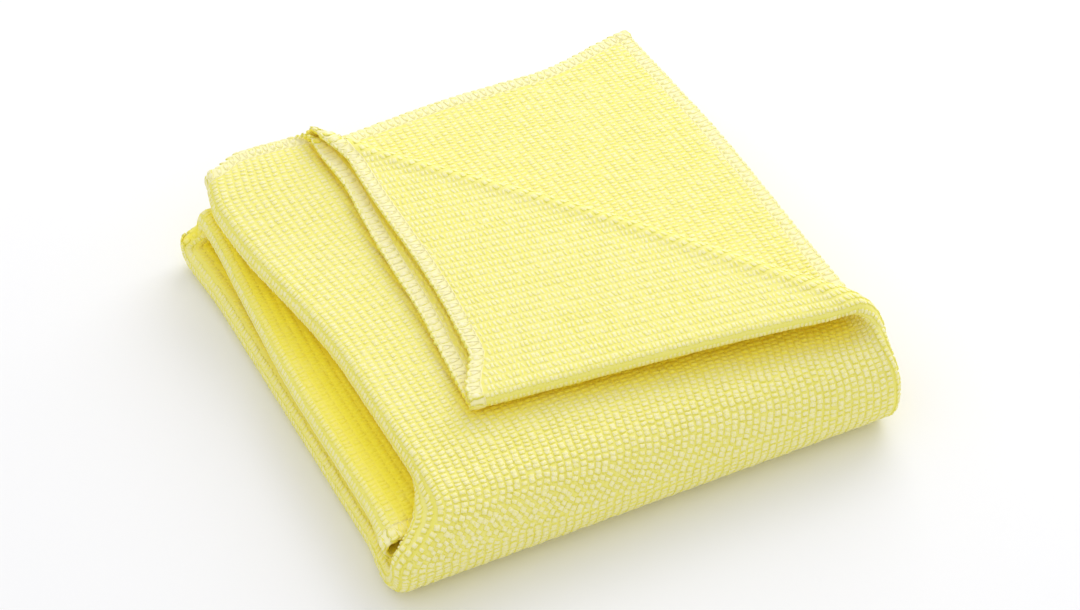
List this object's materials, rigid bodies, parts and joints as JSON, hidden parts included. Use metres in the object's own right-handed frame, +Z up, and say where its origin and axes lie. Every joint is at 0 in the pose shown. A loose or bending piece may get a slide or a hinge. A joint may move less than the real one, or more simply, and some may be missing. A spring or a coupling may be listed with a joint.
{
  "type": "microfibre cloth",
  "caption": "Square looped-knit cleaning cloth, folded in thirds both ways into a soft flat pack with one corner turned back.",
  "frame": {"origin": "middle of the folded pack's bounding box, on the surface it rests on", "axes": "+X along the front roll towards the end where the turned-back crease meets it, +Y from the front roll to the back, +Z up"},
  "size_m": [0.1446, 0.1606, 0.0329],
  "materials": {
    "lemon_knit": "pale lemon-yellow looped warp knit, matt and soft"
  },
  "bodies": {
    "root": {"cloth": "lemon_knit"}
  },
  "joints": []
}
